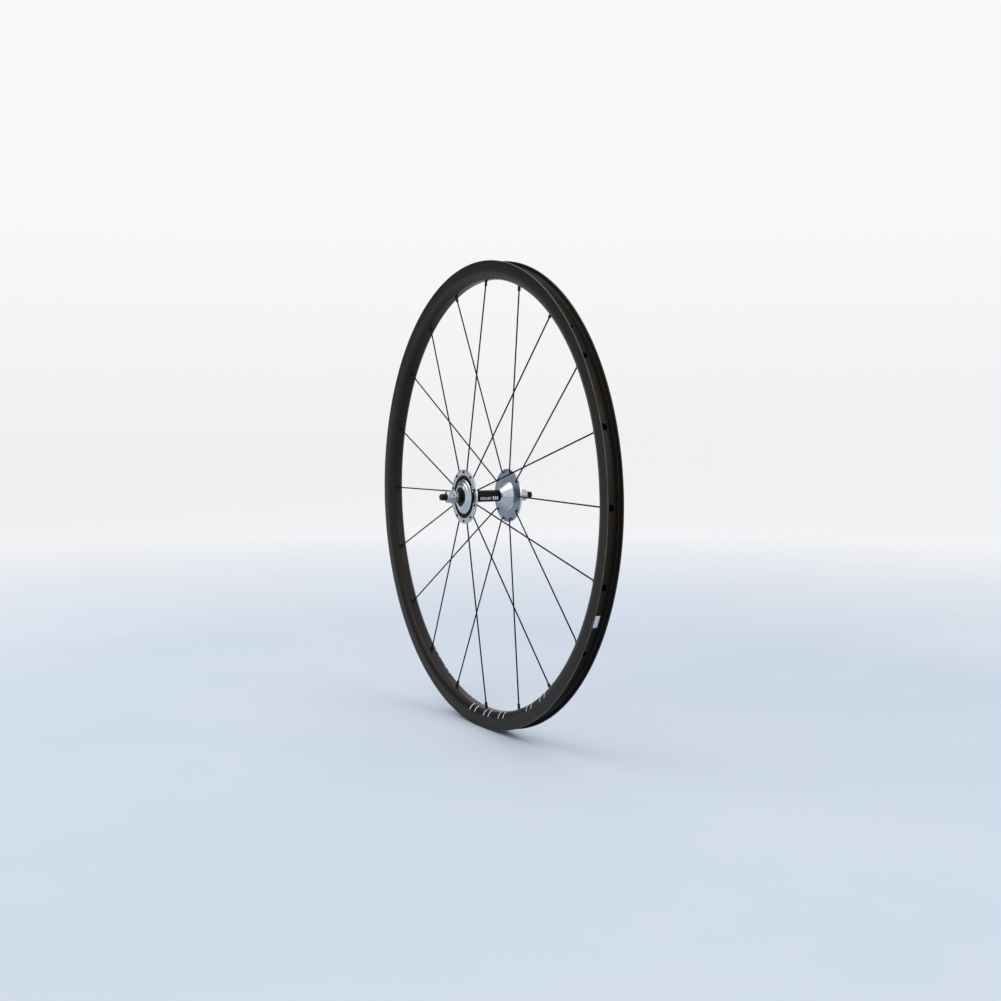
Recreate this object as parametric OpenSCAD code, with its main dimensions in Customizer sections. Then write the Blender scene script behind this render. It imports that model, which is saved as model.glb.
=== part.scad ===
// Front bicycle wheel without a tyre: double-wall clincher rim, twenty radial spokes and a
// high-flange hub with sealed bearings and a bolt-on axle.
// The axle lies along Y, Z is up and the origin is the centre of the wheel.
// Millimetres throughout. Left is -Y and right is +Y.

/* [Rim] */
// Bead seat diameter, where the tyre's beads rest
bead_seat_d = 622; // [622:1:622]
// Height of the sidewall's lip above the bead seat
lip_h = 5.5; // [5:0.1:6.5]
// Width across the brake tracks
rim_w = 23; // [21:0.5:25]
// Radial depth from the lip to the spoke bed
rim_depth = 25; // [23:0.5:27]
// Radial height of each flat brake track
track_h = 11.5; // [10:0.5:12]
// Thickness of the aluminium sidewall
rim_wall = 1.3; // [1.2:0.1:1.8]
// Depth of the well below the bead seat
well_depth = 4.7; // [4:0.1:5.2]
// Thickness of the tyre bed
bed_t = 1.1; // [1:0.1:1.6]
// Thickness of the spoke bed
spoke_bed_t = 2; // [1.8:0.1:2.6]
// Half width of the rounded nose that carries the spokes
nose_half_w = 3.2; // [2.8:0.1:4]
// Diameter of the valve hole
valve_hole_d = 6.5; // [6.3:0.1:6.7]
// Angle of the valve hole from the top, towards +X
valve_angle = 45; // [45:36:333]

/* [Spokes] */
// Number of spokes, half of them on each flange
spoke_count = 20; // [20:4:24]
// Diameter of a spoke
spoke_d = 2; // [1.8:0.1:2.1]
// Diameter of a spoke's head
head_d = 3.9; // [3.5:0.1:4]
// Radius of the elbow, on the spoke's centreline
elbow_r = 2.6; // [2.4:0.1:3]
// Overall length of a nipple
nipple_l = 12.5; // [11.5:0.5:13]
// Diameter of a nipple's shank
nipple_d = 4; // [3.9:0.1:4.1]
// Size across a nipple's flats
nipple_af = 3.4; // [3.2:0.1:3.6]
// Diameter of a nipple's head
nipple_head_d = 6; // [5.8:0.1:6.2]

/* [Hub] */
// Width over the locknuts, which the fork ends take
hub_old = 100; // [100:1:100]
// Diameter of a flange
flange_d = 73.2; // [72:0.2:76]
// Diameter of the circle of spoke holes
spoke_circle_d = 66; // [65:0.5:67]
// Distance from the centre to a flange's outer face
flange_face = 35; // [34.5:0.1:35.5]
// Thickness of a flange's outer band
flange_t = 2.5; // [2.3:0.1:2.7]
// Diameter of the recessed band's outer edge
band_outer_d = 58; // [57:0.5:58.5]
// Diameter of the boss inside the recessed band
boss_d = 46.6; // [45:0.2:48]
// Distance from the centre to the boss's outer face
boss_face = 40.2; // [40.2:0.1:40.6]
// Diameter of the black centre tube
barrel_d = 16; // [15.5:0.1:16.5]
// Length of the black centre tube
barrel_l = 38; // [37:0.5:39]

/* [Axle] */
// Length of the axle
axle_l = 140; // [138:1:142]
// Outside diameter of the axle's thread
axle_d = 9; // [9:1:9]
// Size across the axle nuts' flats
nut_af = 15; // [15:1:15]
// Diameter of the nuts' loose washers
nut_washer_d = 19; // [18.5:0.1:19.5]
// Size across the locknuts' flats
locknut_af = 17; // [17:1:17]

/* [Bearings] */
// Bore of a bearing
bearing_d = 10; // [10:1:10]
// Outside diameter of a bearing
bearing_od = 26; // [26:1:26]
// Width of a bearing
bearing_w = 8; // [8:1:8]
// Diameter of a bearing's balls
ball_d = 4.762; // [4.762:0.001:4.762]
// Number of balls in a bearing
ball_count = 7; // [7:1:7]

/* [Hidden] */
$fn = 72;
LEFT = -1;
RIGHT = 1;
sides = [LEFT, RIGHT];
side_name = ["left", "right"];
spokes_per_side = spoke_count / 2;
spoke_pitch = 360 / spoke_count;

fit_gap = 0.02;      // a pressed or stacked joint
run_gap = 0.05;      // a part that turns or slides on another
cut = 1;             // how far a cutter runs past what it cuts

// Rim radii and half widths
bead_r = bead_seat_d / 2;
rim_r = bead_r + lip_h;
rim_in_r = rim_r - rim_depth;
rim_hw = rim_w / 2;
track_in_r = rim_r - track_h;
well_r = bead_r - well_depth;
well_hw = 5.5;
bead_in_hw = 7.6;
lip_t = 2.2;
hook_h = 2.6;
hook_relief = 0.6;
cavity_r = rim_in_r + spoke_bed_t;
spoke_hole_r = 2.3;
access_hole_r = 4.3;

// Spoke line, in the plane of the axle and one radius
hole_r = spoke_circle_d / 2;
flange_in = flange_face - flange_t;
elbow_y = flange_in - 0.1;
spoke_r = spoke_d / 2;
nipple_seat_r = cavity_r + 0.25;
spoke_tilt = atan((elbow_y - elbow_r) / (rim_in_r + spoke_bed_t / 2 - hole_r - elbow_r));
elbow_turn = 90 - spoke_tilt;
line_y = elbow_y - elbow_r * sin(elbow_turn);
line_z = hole_r + elbow_r * (1 - cos(elbow_turn));
head_h = 1.2;
butt_step = 0.03;    // how much thinner the straight's ends are than the elbow
butt_overlap = 0.25; // how far the straight reaches into the elbow
nipple_top_r = nipple_seat_r + 2.6;
spoke_hole_in_flange_r = 1.3;

// Hub and bearing places along the axle, as distances from the centre
bearing_out = 39.3;
bearing_in = bearing_out - bearing_w;
bearing_mid = (bearing_in + bearing_out) / 2;
pocket_r = bearing_od / 2 + fit_gap;
hub_bore_r = 6;
spigot_r = 7;
spigot_l = 7;
barrel_r = barrel_d / 2;
barrel_hl = barrel_l / 2;
band_depth = 0.6;
cone_base_r = 19.5;
ball_r = ball_d / 2;
ball_circle_r = (bearing_d + bearing_od) / 4;
race_groove_r = ball_r + run_gap;
inner_race_r = 6.9;
outer_race_r = 11.1;
seal_t = 0.6;
seal_inset = 0.2;
cage_hw = 2.9;
cage_t = 1.2;
dust_cap_t = 0.75;
dust_cap_hole_r = 8.4;

// Axle hardware places
thread_r = axle_d / 2;
thread_bore_r = thread_r + run_gap;
shoulder_r = 5.6;
seat_r = bearing_d / 2 - fit_gap;
axle_hl = axle_l / 2;
cone_out = 46.2;
cone_r = 8;
lock_washer_t = 0.78;
lock_washer_r = 8.4;
locknut_in = cone_out + lock_washer_t + 2 * fit_gap;
locknut_out = hub_old / 2;
nut_washer_in = locknut_out + 0.3;
nut_washer_t = 2.15;
nut_in = nut_washer_in + nut_washer_t + 0.15;
nut_out = 62;
nut_collar_r = 6.2;
nut_collar_l = 1.6;
nut_face_r = 6.1;
nut_bore_r = thread_r + 0.1;
relief_r = 4.1;      // a thread relief at the nut's outer face
relief_w = 0.6;

// The sleeve inside the rim's hollow, where the ends of the bent extrusion meet
sleeve_angle = valve_angle + 180;
sleeve_arc = 12;
sleeve_gap = 0.05;
sleeve_lo_r = cavity_r + 3.6;

function spoke_node(s, i) = str("spoke_", s, "_", i < 10 ? "0" : "", i);

// The right flange's spokes lie half way between the left flange's, and angles run from
// the top towards +X.
function spoke_angle(side, i) = (2 * (i - 1) + (side == RIGHT ? 1 : 0)) * spoke_pitch;

// Turns a shape drawn about Z so that it is about the axle, with its +Z pointing to the right.
module about_axle() rotate([-90, 0, 0]) children();

// Turns a profile of [radius, distance from the centre] about the axle, on one side of the wheel.
module turned(side, profile) {
    mirror([0, side == LEFT ? 1 : 0, 0])
        about_axle() rotate_extrude($fn = 144) polygon(profile);
}

// A ring from one distance along the axle to another.
module ring(side, r_in, r_out, from, to) {
    turned(side, [[r_in, from], [r_out, from], [r_out, to], [r_in, to]]);
}

// Places a shape that points along Z so that it points outwards at an angle from the top.
module at_angle(angle) rotate([0, angle, 0]) children();

module radial_hole(angle, r, from, to) {
    at_angle(angle) translate([0, 0, from]) cylinder(r = r, h = to - from);
}

// Half of an outline of [radius, half width], and its reflection, as one closed outline.
function both_halves(half) = concat(
    half, [for (i = [len(half) - 1:-1:0]) [half[i][0], -half[i][1]]]
);

// A quarter of an ellipse from the brake track's lower edge to the nose, as [radius, half width].
function nose_curve(wide, narrow, high_r, low_r, steps = 8) = [
    for (i = [0:steps]) let (a = 90 * i / steps)
        [high_r - (high_r - low_r) * sin(a), narrow + (wide - narrow) * cos(a)]
];

function rim_outline() = both_halves(concat(
    [
        [well_r, 0],
        [well_r, well_hw],
        [bead_r, bead_in_hw],
        [bead_r, rim_hw - lip_t + hook_relief],
        [rim_r - hook_h, rim_hw - lip_t + hook_relief],
        [rim_r - hook_h + 0.8, rim_hw - lip_t],
        [rim_r - 0.6, rim_hw - lip_t],
        [rim_r, rim_hw - lip_t + 0.7],
        [rim_r, rim_hw - 0.4],
        [rim_r - 0.4, rim_hw]
    ],
    nose_curve(rim_hw, nose_half_w, track_in_r, rim_in_r)
));

function rim_cavity() = both_halves(concat(
    [
        [well_r - bed_t, 0],
        [well_r - bed_t, well_hw - 0.4],
        [bead_r - rim_wall, bead_in_hw],
        [bead_r - rim_wall, rim_hw - rim_wall]
    ],
    nose_curve(rim_hw - rim_wall, nose_half_w - 0.6, track_in_r, cavity_r)
));

module rim() {
    color([0.13, 0.125, 0.12]) difference() {
        about_axle() rotate_extrude($fn = 144) difference() {
            polygon(rim_outline());
            polygon(rim_cavity());
        }
        for (i = [0:spoke_count - 1]) {
            radial_hole(i * spoke_pitch, spoke_hole_r, rim_in_r - cut, cavity_r + cut);
            radial_hole(i * spoke_pitch, access_hole_r, well_r - bed_t - cut, bead_r);
        }
        radial_hole(valve_angle, valve_hole_d / 2, rim_in_r - cut, bead_r);
    }
}

function sleeve_outline() = let (r_top = well_r - bed_t - sleeve_gap, hw = well_hw + 1.2) [
    [r_top, -hw + 0.8], [r_top, hw - 0.8], [r_top - 0.8, hw], [sleeve_lo_r + 2, hw],
    [sleeve_lo_r, hw - 2], [sleeve_lo_r, -hw + 2], [sleeve_lo_r + 2, -hw], [r_top - 0.8, -hw]
];

module rim_joint_sleeve() {
    color([0.6, 0.61, 0.63]) at_angle(sleeve_angle) rotate([0, -90 - sleeve_arc / 2, 0])
        about_axle() rotate_extrude(angle = sleeve_arc, $fn = 144) polygon(sleeve_outline());
}

// A black elbow spoke: its head rests on the flange's outer face and it runs up the inner face.
// Its middle is drawn down thinner than its two ends.
module spoke(side, i) {
    length = (nipple_top_r - 1.2 - line_z) / cos(spoke_tilt);
    end_r = spoke_r - butt_step;
    mid_r = spoke_r - 0.1;
    profile = [
        [0, -butt_overlap], [end_r, -butt_overlap], [end_r, 14], [mid_r, 22],
        [mid_r, length - 30], [end_r, length - 24], [end_r, length], [0, length]
    ];
    color([0.06, 0.06, 0.065])
        at_angle(spoke_angle(side, i)) mirror([0, side == LEFT ? 1 : 0, 0]) {
            translate([0, elbow_y, hole_r])
                about_axle() cylinder(r = spoke_r, h = flange_face - elbow_y + head_h / 2);
            translate([0, flange_face + fit_gap, hole_r])
                about_axle() cylinder(r1 = head_d / 2, r2 = head_d / 2 - 0.5, h = head_h);
            translate([0, elbow_y, hole_r + elbow_r])
                rotate([180, 90, 0])
                    rotate_extrude(angle = elbow_turn) translate([elbow_r, 0]) circle(spoke_r);
            translate([0, line_y, line_z])
                rotate([spoke_tilt, 0, 0]) rotate_extrude() polygon(profile);
        }
}

// One nipple on a spoke's line, from the flats below the rim to the slotted head inside it.
module nipple(side, i) {
    head_h = 1.7;
    seat_h = 0.9;
    flats_h = 6.4;
    shank_h = nipple_l - head_h - seat_h;
    at_angle(spoke_angle(side, i)) mirror([0, side == LEFT ? 1 : 0, 0])
        translate([0, line_y, line_z]) rotate([spoke_tilt, 0, 0])
            translate([0, 0, (nipple_top_r - line_z) / cos(spoke_tilt) - nipple_l])
                difference() {
                    union() {
                        intersection() {
                            cylinder(d = nipple_d, h = flats_h);
                            translate([0, 0, flats_h / 2])
                                cube([nipple_af, nipple_af, flats_h], center = true);
                        }
                        translate([0, 0, flats_h]) cylinder(d = nipple_d, h = shank_h - flats_h);
                        translate([0, 0, shank_h])
                            cylinder(d1 = nipple_d, d2 = nipple_head_d, h = seat_h);
                        translate([0, 0, shank_h + seat_h]) cylinder(d = nipple_head_d, h = head_h);
                    }
                    translate([0, 0, -cut]) cylinder(r = spoke_r + run_gap, h = nipple_l + 2 * cut);
                    translate([0, 0, nipple_l])
                        cube([1.2, nipple_head_d + cut, 1.8], center = true);
                }
}

module nipples(side) {
    color([0.07, 0.07, 0.075]) for (i = [1:spokes_per_side]) nipple(side, i);
}

// The flange, its polished boss with the bearing's pocket, and the cone down to the centre tube.
module hub_flange(side) {
    edge = 0.5;
    color([0.78, 0.8, 0.82]) difference() {
        turned(side, [
            [hub_bore_r, barrel_hl - spigot_l],
            [hub_bore_r, bearing_in - 1.8],
            [11.4, bearing_in - 1.8],
            [11.4, bearing_in - fit_gap],
            [pocket_r, bearing_in - fit_gap],
            [pocket_r, boss_face - 0.3],
            [pocket_r + 0.3, boss_face],
            [14.8, boss_face],
            [15.6, boss_face - 0.5],
            [18.8, boss_face - 1.9],
            [19.3, boss_face - 2.7],
            [22.4, boss_face - 4.0],
            [boss_d / 2, flange_face + 0.3],
            [boss_d / 2, flange_face - band_depth],
            [band_outer_d / 2, flange_face - band_depth],
            [band_outer_d / 2, flange_face - 0.2],
            [band_outer_d / 2 + 0.2, flange_face],
            [flange_d / 2 - edge, flange_face],
            [flange_d / 2, flange_face - edge],
            [flange_d / 2, flange_in + edge],
            [flange_d / 2 - edge, flange_in],
            [cone_base_r + 1, flange_in],
            [cone_base_r - 0.4, flange_in - 0.7],
            [barrel_r + 1.6, barrel_hl + 1.6],
            [barrel_r, barrel_hl],
            [spigot_r, barrel_hl],
            [spigot_r, barrel_hl - spigot_l]
        ]);
        for (i = [1:spokes_per_side])
            at_angle(spoke_angle(side, i))
                translate([0, side * (flange_in + flange_t / 2), hole_r])
                    about_axle() cylinder(r = spoke_hole_in_flange_r, h = flange_t + 2 * cut, center = true);
    }
}

module hub_barrel() {
    color([0.05, 0.05, 0.05]) about_axle() difference() {
        cylinder(r = barrel_r, h = barrel_l - 2 * fit_gap, center = true);
        cylinder(r = spigot_r + fit_gap, h = barrel_l + cut, center = true);
    }
}

// Cuts the ball's groove out of a race.
module race_groove(side) {
    difference() {
        children();
        translate([0, side * bearing_mid, 0])
            about_axle() rotate_extrude() translate([ball_circle_r, 0]) circle(race_groove_r);
    }
}

module bearing_inner_race(side) {
    color([0.72, 0.73, 0.75])
        race_groove(side) ring(side, bearing_d / 2, inner_race_r, bearing_in, bearing_out);
}

module bearing_outer_race(side) {
    color([0.72, 0.73, 0.75])
        race_groove(side) ring(side, outer_race_r, bearing_od / 2, bearing_in, bearing_out);
}

// The rubber seals that close a bearing, one at each of its faces.
module bearing_seal(side, from) {
    color([0.08, 0.08, 0.08])
        ring(side, inner_race_r + 0.15, outer_race_r - run_gap, from, from + seal_t);
}

module at_balls(side) {
    for (i = [0:ball_count - 1])
        at_angle(i * 360 / ball_count) translate([0, side * bearing_mid, ball_circle_r]) children();
}

module bearing_balls(side) {
    color([0.8, 0.8, 0.82]) at_balls(side) sphere(r = ball_r);
}

module bearing_cage(side) {
    color([0.55, 0.45, 0.25]) difference() {
        ring(side, ball_circle_r - cage_t / 2, ball_circle_r + cage_t / 2,
             bearing_mid - cage_hw, bearing_mid + cage_hw);
        at_balls(side) sphere(r = race_groove_r);
    }
}

// The black cover pressed into the boss in front of the bearing.
module dust_cap(side) {
    from = bearing_out + 0.12;
    color([0.06, 0.06, 0.06]) turned(side, [
        [dust_cap_hole_r, from],
        [pocket_r - 2 * fit_gap, from],
        [pocket_r - 2 * fit_gap, from + dust_cap_t],
        [pocket_r - 1.2, from + dust_cap_t],
        [pocket_r - 1.5, from + dust_cap_t - 0.3],
        [dust_cap_hole_r, from + dust_cap_t - 0.3]
    ]);
}

// A plain turned shaft: shoulders inside the bearings, bearing seats, and threaded ends.
module axle() {
    half = [
        [shoulder_r, 0],
        [shoulder_r, bearing_in - fit_gap],
        [seat_r, bearing_in - fit_gap],
        [seat_r, bearing_out - 0.3],
        [thread_r, bearing_out - 0.3],
        [thread_r, nut_out - relief_w + 0.1],
        [relief_r, nut_out - relief_w + 0.1],
        [relief_r, nut_out + 0.1],
        [thread_r, nut_out + 0.1],
        [thread_r, axle_hl - 0.8],
        [thread_r - 0.8, axle_hl],
        [0, axle_hl]
    ];
    color([0.09, 0.09, 0.095]) about_axle() rotate_extrude($fn = 96) polygon(both_halves_along(half));
}

// Mirrors a profile of [radius, distance from the centre] to the other side of the centre.
function both_halves_along(half) = concat(
    [for (i = [len(half) - 1:-1:1]) [half[i][0], -half[i][1]]], half
);

// The threaded cone-shaped collar that clamps the bearing's inner race.
module cone(side) {
    from = bearing_out + fit_gap;
    color([0.12, 0.12, 0.125]) turned(side, [
        [thread_bore_r, from],
        [inner_race_r - 0.2, from],
        [inner_race_r - 0.2, from + 0.6],
        [cone_r, from + 1.6],
        [cone_r, cone_out - 0.4],
        [cone_r - 0.4, cone_out],
        [thread_bore_r, cone_out]
    ]);
}

module lock_washer(side) {
    color([0.68, 0.68, 0.7])
        ring(side, thread_bore_r, lock_washer_r, cone_out + fit_gap, cone_out + fit_gap + lock_washer_t);
}

// A hexagon across given flats with both faces chamfered, and its outer face at a chosen radius.
module hexagon(side, af, from, to, face_r, slope) {
    corner_r = af / 2 / cos(30);
    chamfer = (corner_r - face_r) * slope;
    intersection() {
        translate([0, side * (from + to) / 2, 0])
            about_axle() rotate([0, 0, 0]) cylinder(r = corner_r, h = to - from, center = true, $fn = 6);
        turned(side, [
            [0, from],
            [corner_r - 0.8, from],
            [corner_r + 0.1, from + 0.5],
            [corner_r + 0.1, to - chamfer],
            [face_r, to],
            [0, to]
        ]);
    }
}

module axle_bore(side, r) {
    difference() {
        children();
        translate([0, side * axle_hl, 0]) about_axle() cylinder(r = r, h = axle_l, center = true);
    }
}

module locknut(side) {
    color([0.75, 0.76, 0.78])
        axle_bore(side, thread_bore_r) hexagon(side, locknut_af, locknut_in, locknut_out, 8.9, 0.5);
}

// The nut's loose washer, which a collar on the nut keeps in place while the nut turns.
module nut_washer(side) {
    color([0.75, 0.76, 0.78]) turned(side, [
        [nut_collar_r + run_gap, nut_washer_in],
        [nut_washer_d / 2, nut_washer_in],
        [nut_washer_d / 2, nut_washer_in + 1.5],
        [nut_washer_d / 2 - 0.7, nut_washer_in + nut_washer_t],
        [nut_collar_r + run_gap, nut_washer_in + nut_washer_t]
    ]);
}

module axle_nut(side) {
    color([0.75, 0.76, 0.78]) axle_bore(side, nut_bore_r) union() {
        hexagon(side, nut_af, nut_in, nut_out, nut_face_r, 1.1);
        ring(side, thread_r, nut_collar_r, nut_in - nut_collar_l, nut_in + 0.5);
    }
}

module all_on(side, s) {
    hub_flange(side);
    bearing_outer_race(side);
    bearing_seal(side, bearing_out - seal_inset - seal_t);
    bearing_seal(side, bearing_in + seal_inset);
    bearing_inner_race(side);
    bearing_balls(side);
    bearing_cage(side);
    dust_cap(side);
    cone(side);
    lock_washer(side);
    locknut(side);
    nut_washer(side);
    axle_nut(side);
    nipples(side);
    for (i = [1:spokes_per_side])
        spoke(side, i);
}

rim();
rim_joint_sleeve();
hub_barrel();
axle();
for (k = [0:1]) all_on(sides[k], side_name[k]);
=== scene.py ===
import math

import bmesh
import bpy
from mathutils import Matrix, Vector


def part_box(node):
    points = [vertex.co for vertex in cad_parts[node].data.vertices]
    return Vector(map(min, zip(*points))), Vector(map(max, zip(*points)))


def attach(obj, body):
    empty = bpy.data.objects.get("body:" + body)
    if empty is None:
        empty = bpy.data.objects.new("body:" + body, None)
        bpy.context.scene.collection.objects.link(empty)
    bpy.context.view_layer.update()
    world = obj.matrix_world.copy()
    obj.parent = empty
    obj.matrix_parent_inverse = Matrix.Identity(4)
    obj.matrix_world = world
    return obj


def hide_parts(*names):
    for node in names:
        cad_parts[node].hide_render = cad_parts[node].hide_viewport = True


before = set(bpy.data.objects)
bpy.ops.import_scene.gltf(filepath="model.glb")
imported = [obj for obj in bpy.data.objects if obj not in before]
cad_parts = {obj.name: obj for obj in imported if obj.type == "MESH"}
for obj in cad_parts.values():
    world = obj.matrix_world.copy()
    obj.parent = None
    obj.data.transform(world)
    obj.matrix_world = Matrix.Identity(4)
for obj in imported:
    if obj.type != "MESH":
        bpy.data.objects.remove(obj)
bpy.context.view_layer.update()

# The axle lies along Y with the left side at -Y, Z is up and the origin is the wheel's centre.
# Angles are in degrees round the axle from the top, towards +X. Radii are from the axle.
# Helpers take millimetres and new_object turns them into metres.


# ---------------------------------------------------------------- sizes, in millimetres
def reach(name, axis):
    """How far a CAD node reaches from the wheel's centre along an axis."""
    lo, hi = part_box(name)
    return max(abs(lo[axis]), abs(hi[axis])) * 1000


def span(name):
    """Where a CAD node starts and ends along the axle, and its radius."""
    lo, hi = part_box(name)
    y0, y1 = sorted((abs(lo.y) * 1000, abs(hi.y) * 1000))
    return y0, y1, hi.z * 1000


SIDES = {"left": -1, "right": 1}

# rim, from the lips inwards
RIM_R = reach("rim", 2)
RIM_HW = reach("rim", 1)
LIP_H = 5.5
WELL_DEPTH = 4.7
BED_T = 1.1
TRACK_H = 11.5
RIM_DEPTH = 25
SPOKE_BED_T = 2
RIM_WALL = 1.3
NOSE_HW = 3.2
HOOK = 1.6
BEAD_R = RIM_R - LIP_H
WELL_R = BEAD_R - WELL_DEPTH
CEIL_R = WELL_R - BED_T
TRACK_R = RIM_R - TRACK_H
NOSE_R = RIM_R - RIM_DEPTH
FLOOR_R = NOSE_R + SPOKE_BED_T
VALVE = 45.0
VALVE_R = 3.25
ACCESS_R = 4.3
NIPPLE_HOLE_R = 2.3

# hub and axle
FLANGE_R = reach("hub_flange_right", 2)
FLANGE_Y = 35.0
FLANGE_IN = FLANGE_Y - 2.5
BOSS_Y = reach("hub_flange_right", 1)
BOSS_R = 23.3
BAND_R = 29.0
BAND_Y = FLANGE_Y - 0.6
BARREL_R = reach("hub_barrel", 2)
BARREL_Y = reach("hub_barrel", 1)
BARREL_BORE = 7.0
AXLE_Y = reach("axle", 1)
THREAD_BORE = 4.55

# spokes: an elbow through the flange, then a straight line to the rim
SPOKES = 20
PITCH = 360 / SPOKES
CIRCLE_R = 33.0
SPOKE_HOLE_R = 1.3
ELBOW_R = 2.6
ELBOW_Y = FLANGE_IN - 0.1
TILT = math.atan((ELBOW_Y - ELBOW_R) / (NOSE_R + 1 - CIRCLE_R - ELBOW_R))
TURN = math.pi / 2 - TILT
LINE_Y = ELBOW_Y - ELBOW_R * math.sin(TURN)
LINE_Z = CIRCLE_R + ELBOW_R * (1 - math.cos(TURN))
NIPPLE_L = 12.5
NIPPLE_HEAD = 2.6
NIPPLE_TOP = FLOOR_R + 0.25 + NIPPLE_HEAD

# a round hole takes a patch of this many columns and rows out of a turned surface
GRID = 8


# ---------------------------------------------------------------- mesh helpers
def new_object(name, verts, faces, mats=(), face_mats=None, sharp=32, smooth=True):
    """A mesh from points in millimetres, with its normals outwards and its sharp edges marked."""
    me = bpy.data.meshes.new(name)
    me.from_pydata([(x / 1000, y / 1000, z / 1000) for x, y, z in verts], [], faces)
    for m in mats:
        me.materials.append(m)
    if face_mats:
        me.polygons.foreach_set("material_index", face_mats)
    me.validate()
    bm = bmesh.new()
    bm.from_mesh(me)
    bmesh.ops.recalc_face_normals(bm, faces=bm.faces)
    bm.to_mesh(me)
    bm.free()
    if smooth:
        me.shade_smooth()
        me.set_sharp_from_angle(angle=math.radians(sharp))
    ob = bpy.data.objects.new(name, me)
    bpy.context.scene.collection.objects.link(ob)
    return ob


def fillet(points, steps=4):
    """Rounds the corners of an open outline of (a, b, radius). A corner may leave its radius out."""
    out = [points[0][:2]]
    for i in range(1, len(points) - 1):
        p0, p1, p2 = (Vector(points[k][:2]) for k in (i - 1, i, i + 1))
        rad = points[i][2] if len(points[i]) > 2 else 0
        u, v = (p0 - p1), (p2 - p1)
        has_corner = rad > 0 and u.length >= 1e-6 and v.length >= 1e-6
        half = u.angle(v) / 2 if has_corner else 0
        if not has_corner or half > math.radians(88):
            out.append(tuple(p1))
            continue
        t = min(rad / math.tan(half), 0.48 * u.length, 0.48 * v.length)
        rad = t * math.tan(half)
        a, b = p1 + u.normalized() * t, p1 + v.normalized() * t
        c = p1 + (u.normalized() + v.normalized()).normalized() * (rad / math.sin(half))
        ca, cb = a - c, b - c
        sweep = ca.angle_signed(cb)
        for s in range(steps + 1):
            q = ca.copy()
            q.rotate(Matrix.Rotation(-sweep * s / steps, 2))
            out.append(tuple(c + q))
    out.append(points[-1][:2])
    return out


def at(angle, r, y):
    """The point at an angle in degrees from the top, towards +X."""
    a = math.radians(angle)
    return (r * math.sin(a), y, r * math.cos(a))


def lathe(name, outline, mat, n=96, side=1, wave=None):
    """Turns a closed outline of (radius, y) about the axle. wave(angle, radius, y) may move a point."""
    verts, faces = [], []
    m = len(outline)
    for i in range(n):
        angle = 360 * i / n
        for r, y in outline:
            if wave:
                r, y = wave(angle, r, y)
            verts.append(at(angle, r, side * y))
    for i in range(n):
        i2 = (i + 1) % n
        for j in range(m):
            j2 = (j + 1) % m
            faces.append((i * m + j, i * m + j2, i2 * m + j2, i2 * m + j))
    return new_object(name, verts, faces, [mat])


def columns(centres, half, between):
    """Angles all round, with GRID columns across each centre; also each centre's first column."""
    angles, first = [], {}
    for k, c in enumerate(centres):
        following = centres[(k + 1) % len(centres)] + (360 if k + 1 == len(centres) else 0)
        first[c] = len(angles)
        angles += [c - half + 2 * half * i / GRID for i in range(GRID)]
        lo, hi = c + half, following - half
        angles += [lo + (hi - lo) * i / between for i in range(between)]
    return angles, first


def surface_r(outline, lo, hi, y):
    """The radius of an outline at y, between two of its rows."""
    rows = sorted((outline[j][1], outline[j][0]) for j in range(lo, hi + 1))
    if y <= rows[0][0]:
        return rows[0][1]
    for (y0, r0), (y1, r1) in zip(rows, rows[1:]):
        if y <= y1:
            return r0 + (r1 - r0) * (y - y0) / max(y1 - y0, 1e-9)
    return rows[-1][1]


def hole(angle, column, ends, signs, radius, chamfer, circle=None, edge_mats=(0, 0), wall_mat=0):
    """A round hole for holed().

    column: the first of the columns it takes. ends: (loop, first row, last row) at each mouth.
    signs: which way the hole leads in from each mouth. circle: for a hole along the axle, the
    radius of the circle it is on; a hole without one runs along the radius."""
    return dict(angle=angle, column=column, ends=ends, signs=signs, radius=radius, chamfer=chamfer,
                circle=circle, edge_mats=edge_mats, wall_mat=wall_mat)


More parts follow.
